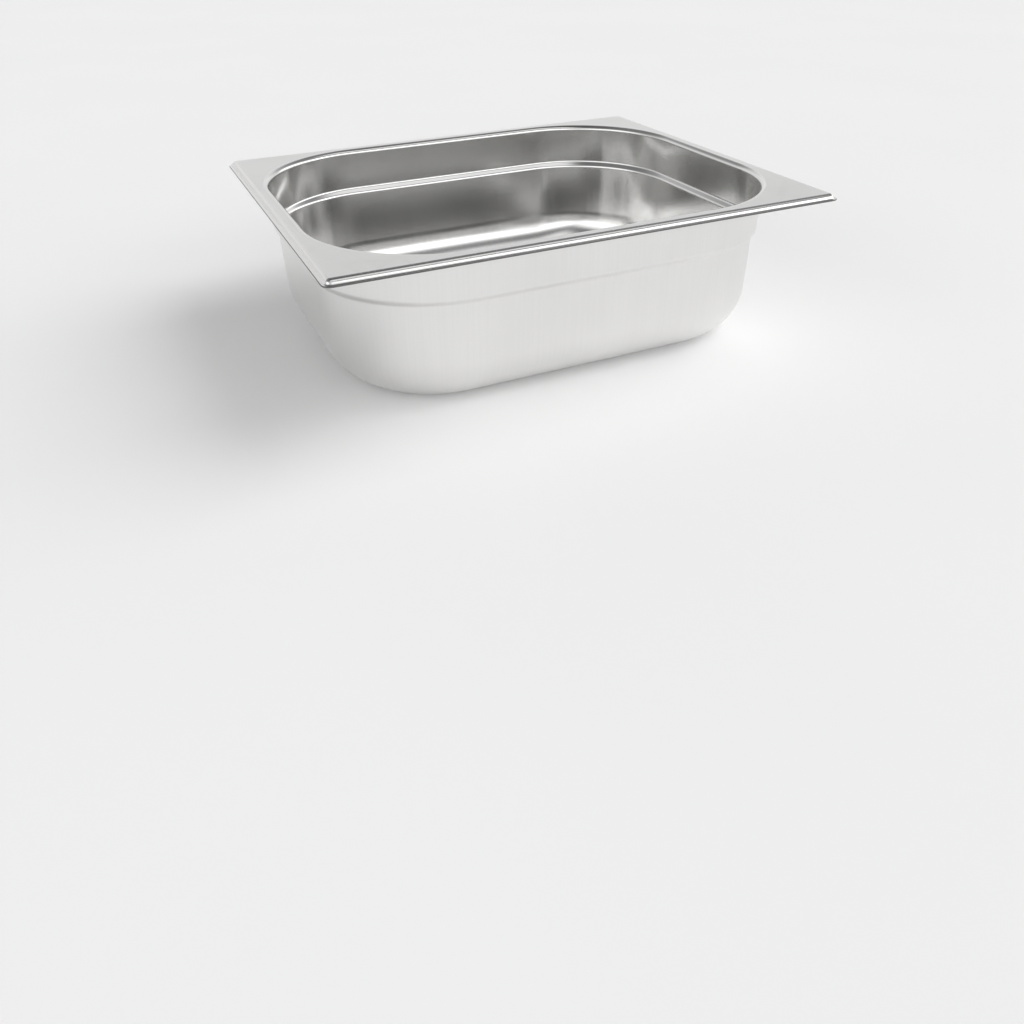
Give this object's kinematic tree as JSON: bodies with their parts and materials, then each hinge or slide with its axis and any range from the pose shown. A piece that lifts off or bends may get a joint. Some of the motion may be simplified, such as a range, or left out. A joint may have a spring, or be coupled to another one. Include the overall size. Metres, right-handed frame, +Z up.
{
  "type": "gastronorm food pan",
  "caption": "Rectangular deep-drawn steel food pan with a flat stepped rim, round-cornered well, stacking shoulder and flat base.",
  "frame": {"origin": "centre of the base, on the surface the pan stands on", "axes": "+X along the long side, +Y along the short side, +Z up out of the opening"},
  "size_m": [0.325, 0.265, 0.1],
  "materials": {
    "steel": "satin, polished inside the well"
  },
  "bodies": {
    "root": {"pan": "steel"}
  },
  "joints": []
}
